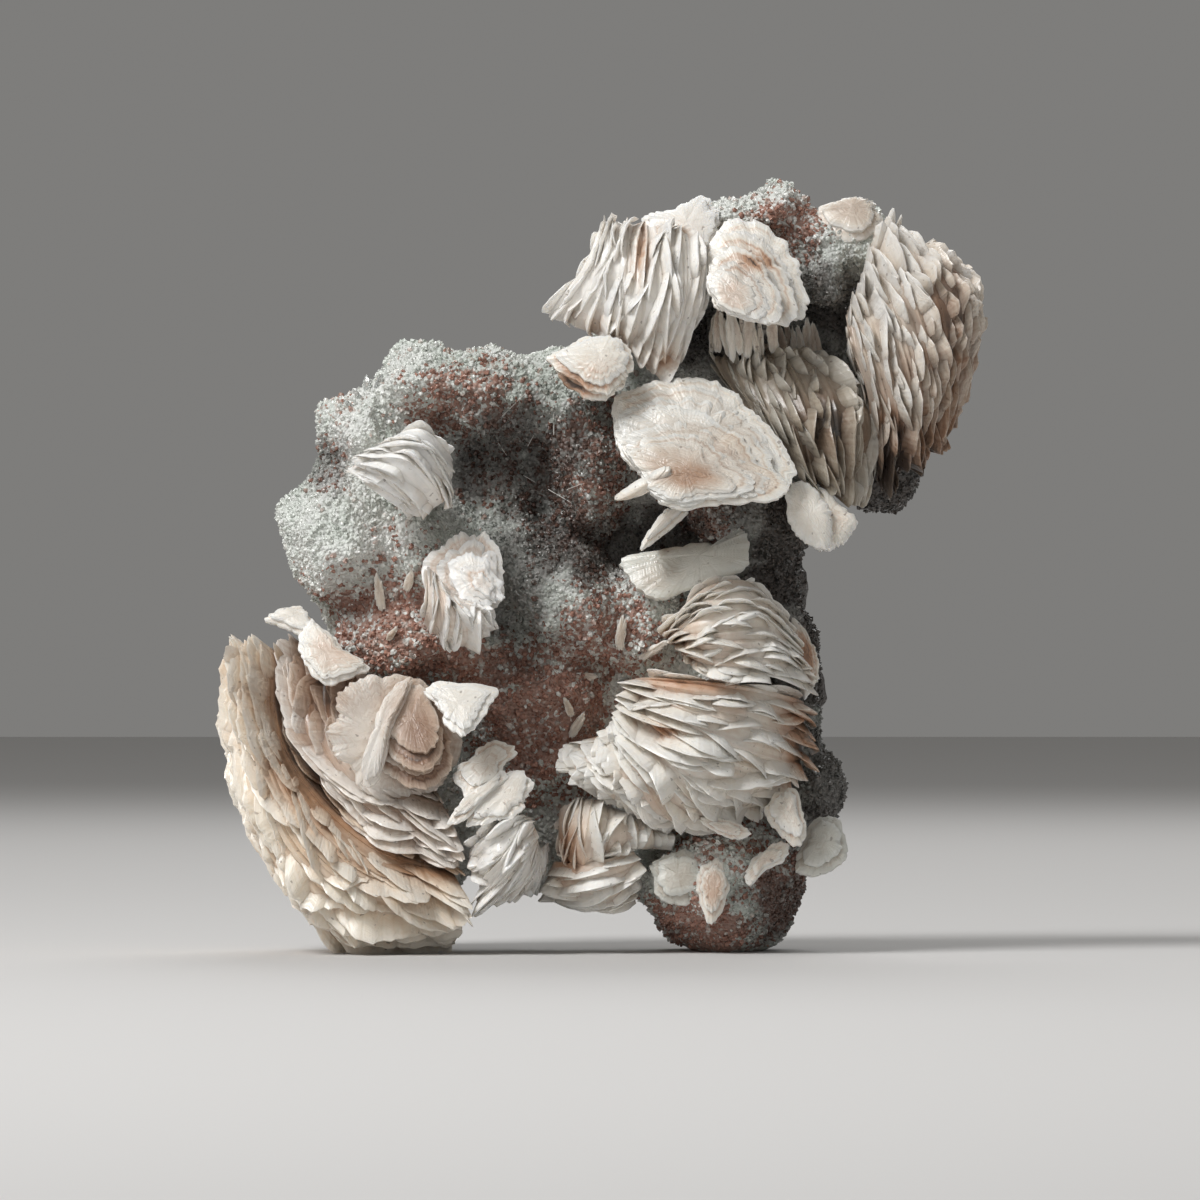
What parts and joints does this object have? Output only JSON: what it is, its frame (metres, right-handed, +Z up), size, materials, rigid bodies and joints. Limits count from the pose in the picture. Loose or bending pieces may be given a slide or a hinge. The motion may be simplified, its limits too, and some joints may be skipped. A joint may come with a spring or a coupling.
{
  "type": "mineral specimen",
  "caption": "Baryte with quartz: crests of thin tabular baryte crystals on a knobbly body of drusy quartz, standing on two feet.",
  "frame": {"origin": "on the ground, under the middle of the specimen's bounding box", "axes": "+X to the specimen's right as the viewer sees it, +Y away from the viewer, +Z up"},
  "size_m": [0.1066, 0.0523, 0.1082],
  "materials": {
    "baryte": "pearly",
    "quartz": "sparkling druse"
  },
  "bodies": {
    "root": {"baryte_blade_small": "baryte", "baryte_chunk_foot": "baryte", "baryte_crest_back": "baryte", "baryte_crest_bottom": "baryte", "baryte_crest_lower_left": "baryte", "baryte_crest_lower_right": "baryte", "baryte_crest_top_left": "baryte", "baryte_disc_top": "baryte", "baryte_fan_lower_right": "baryte", "baryte_fan_middle": "baryte", "baryte_fan_right": "baryte", "baryte_flower_on_quartz": "baryte", "baryte_leaf_on_quartz": "baryte", "baryte_plate_corner": "baryte", "baryte_plate_eared": "baryte", "baryte_plate_edge": "baryte", "baryte_plate_foot": "baryte", "baryte_plate_junction": "baryte", "baryte_plate_right": "baryte", "baryte_plate_slope": "baryte", "baryte_plate_triangular": "baryte", "baryte_plates_lower": "baryte", "baryte_rosette": "baryte", "baryte_shell_middle": "baryte", "baryte_spray_lower": "baryte", "baryte_wedge_left": "baryte", "quartz_matrix": "quartz"}
  },
  "joints": []
}
